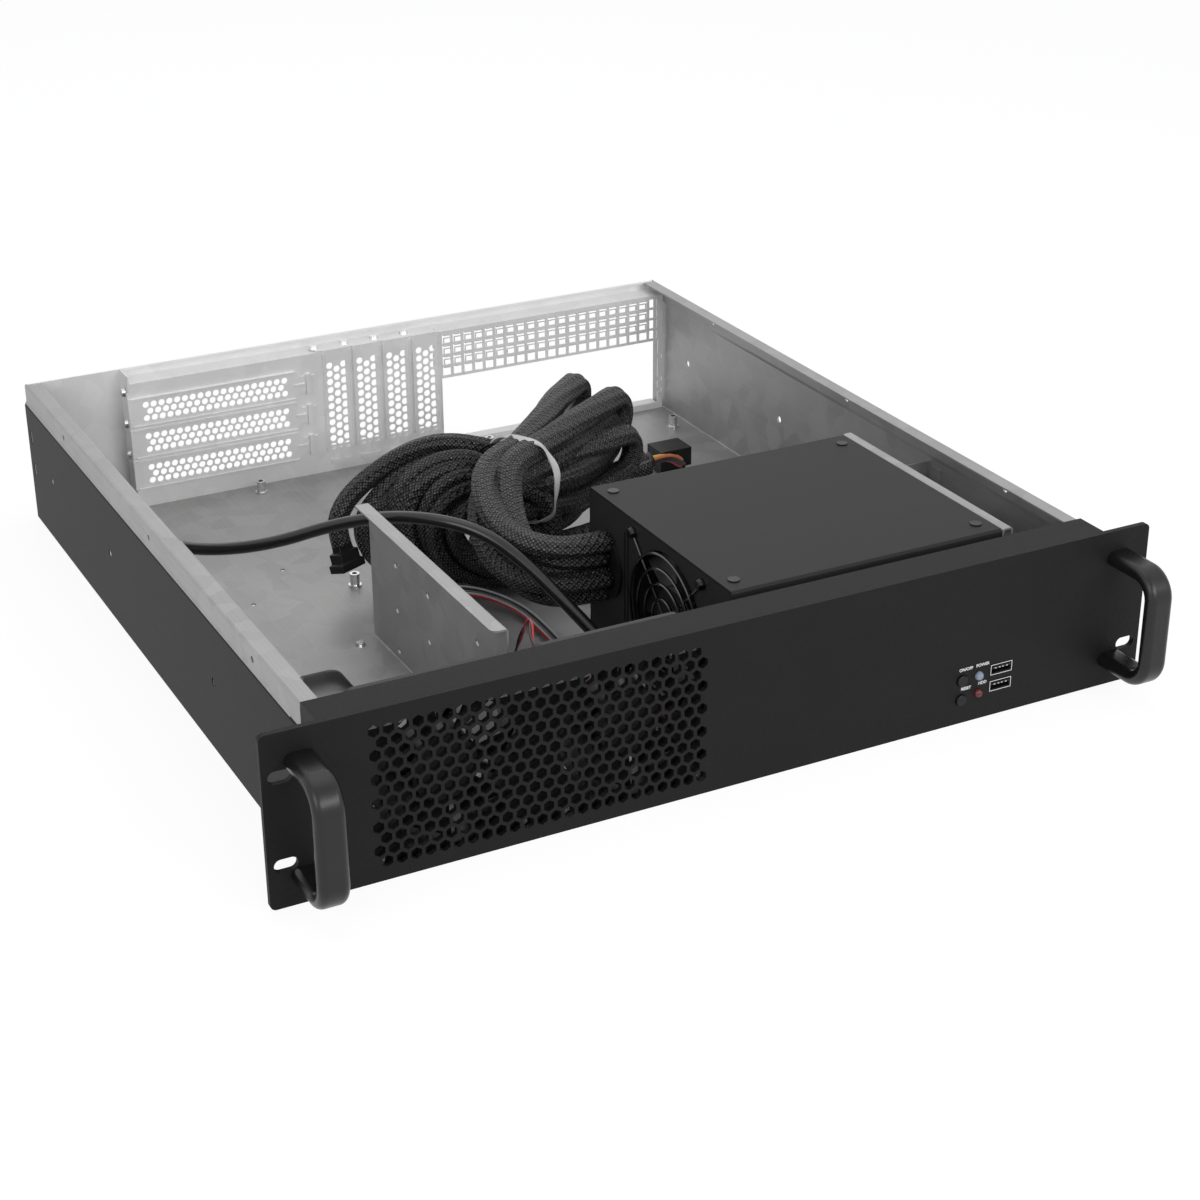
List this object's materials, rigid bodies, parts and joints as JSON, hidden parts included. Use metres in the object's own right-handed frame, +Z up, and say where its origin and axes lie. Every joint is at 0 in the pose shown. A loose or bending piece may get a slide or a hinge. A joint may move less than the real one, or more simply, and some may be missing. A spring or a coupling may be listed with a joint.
{
  "type": "rackmount server case",
  "caption": "Low rack-mount computer case with its lid off: vented front with two handles, drive cage, power supply, fans, cables, and slots at the rear.",
  "frame": {"origin": "centre of the bounding box at the surface that the case stands on", "axes": "+X to the right seen from the front, +Y to the rear, +Z up"},
  "size_m": [0.4826, 0.5207, 0.0881],
  "materials": {
    "zinc_sheet": "spangled zinc",
    "black_coat": "fine textured coat",
    "fan_plastic": "satin",
    "bright_steel": "bright",
    "button_plastic": "gloss",
    "lamp": "clear",
    "socket_metal": "bright",
    "circuit_board": "satin",
    "black_moulding": "satin",
    "mains_sheath": "satin",
    "braided_sleeve": "braided",
    "thin_wire": "satin",
    "clear_tie": "satin"
  },
  "bodies": {
    "case": {"chassis_tub": "zinc_sheet", "rear_panel": "zinc_sheet", "drive_cage": "zinc_sheet", "full_height_cover_1": "zinc_sheet", "full_height_cover_2": "zinc_sheet", "full_height_cover_3": "zinc_sheet", "low_profile_cover_1": "zinc_sheet", "low_profile_cover_2": "zinc_sheet", "low_profile_cover_3": "zinc_sheet", "low_profile_cover_4": "zinc_sheet", "psu_bracket": "zinc_sheet", "psu_brace": "zinc_sheet", "front_panel": "black_coat", "handle_left": "black_coat", "handle_right": "black_coat", "psu_base": "black_coat", "psu_cover": "black_coat", "fan_1_frame": "fan_plastic", "fan_2_frame": "fan_plastic", "psu_fan_frame": "fan_plastic", "handle_screws": "bright_steel", "cover_screws": "bright_steel", "cage_screws": "bright_steel", "fan_screws": "bright_steel", "psu_cover_screws": "bright_steel", "psu_fan_guard": "bright_steel", "psu_fan_screws": "bright_steel", "inlet_screws": "bright_steel", "brace_screw": "bright_steel", "motherboard_standoffs": "bright_steel", "panel_leds": "lamp", "usb_ports": "socket_metal", "control_board": "circuit_board", "psu_board": "circuit_board", "psu_inlet": "black_moulding", "rear_inlet": "black_moulding", "cable_bush": "black_moulding", "ac_plug": "black_moulding", "spare_plug": "black_moulding", "drive_power_plug": "black_moulding", "panel_plug": "black_moulding", "fan_plugs": "black_moulding", "ac_lead": "mains_sheath", "drive_power_lead": "mains_sheath", "supply_cable_1": "braided_sleeve", "supply_cable_2": "braided_sleeve", "supply_cable_3": "braided_sleeve", "supply_cable_4": "braided_sleeve", "left_hank": "braided_sleeve", "right_hank": "braided_sleeve", "panel_leads": "thin_wire", "fan_1_lead": "thin_wire", "fan_2_lead": "thin_wire", "cable_tie": "clear_tie"},
    "fan_1_rotor": {"fan_1_rotor": "fan_plastic"},
    "fan_2_rotor": {"fan_2_rotor": "fan_plastic"},
    "power_button": {"power_button": "button_plastic"},
    "psu_fan_rotor": {"psu_fan_rotor": "fan_plastic"},
    "reset_button": {"reset_button": "button_plastic"}
  },
  "joints": [
    {"name": "fan_1_spin", "type": "hinge", "parent": "case", "child": "fan_1_rotor", "pos_m": [-0.151, -0.20315, 0.044], "axis": [0, 1, 0], "continuous": true},
    {"name": "fan_2_spin", "type": "hinge", "parent": "case", "child": "fan_2_rotor", "pos_m": [-0.057, -0.20315, 0.044], "axis": [0, 1, 0], "continuous": true},
    {"name": "psu_fan_spin", "type": "hinge", "parent": "case", "child": "psu_fan_rotor", "pos_m": [0.0245, -0.12675, 0.044], "axis": [1, 0, 0], "continuous": true},
    {"name": "power_press", "type": "slide", "parent": "case", "child": "power_button", "axis": [0, 1, 0], "range_m": [0, 0.001], "stiffness_N_per_m": 400, "springref_m": -0.001},
    {"name": "reset_press", "type": "slide", "parent": "case", "child": "reset_button", "axis": [0, 1, 0], "range_m": [0, 0.001], "stiffness_N_per_m": 400, "springref_m": -0.001}
  ]
}
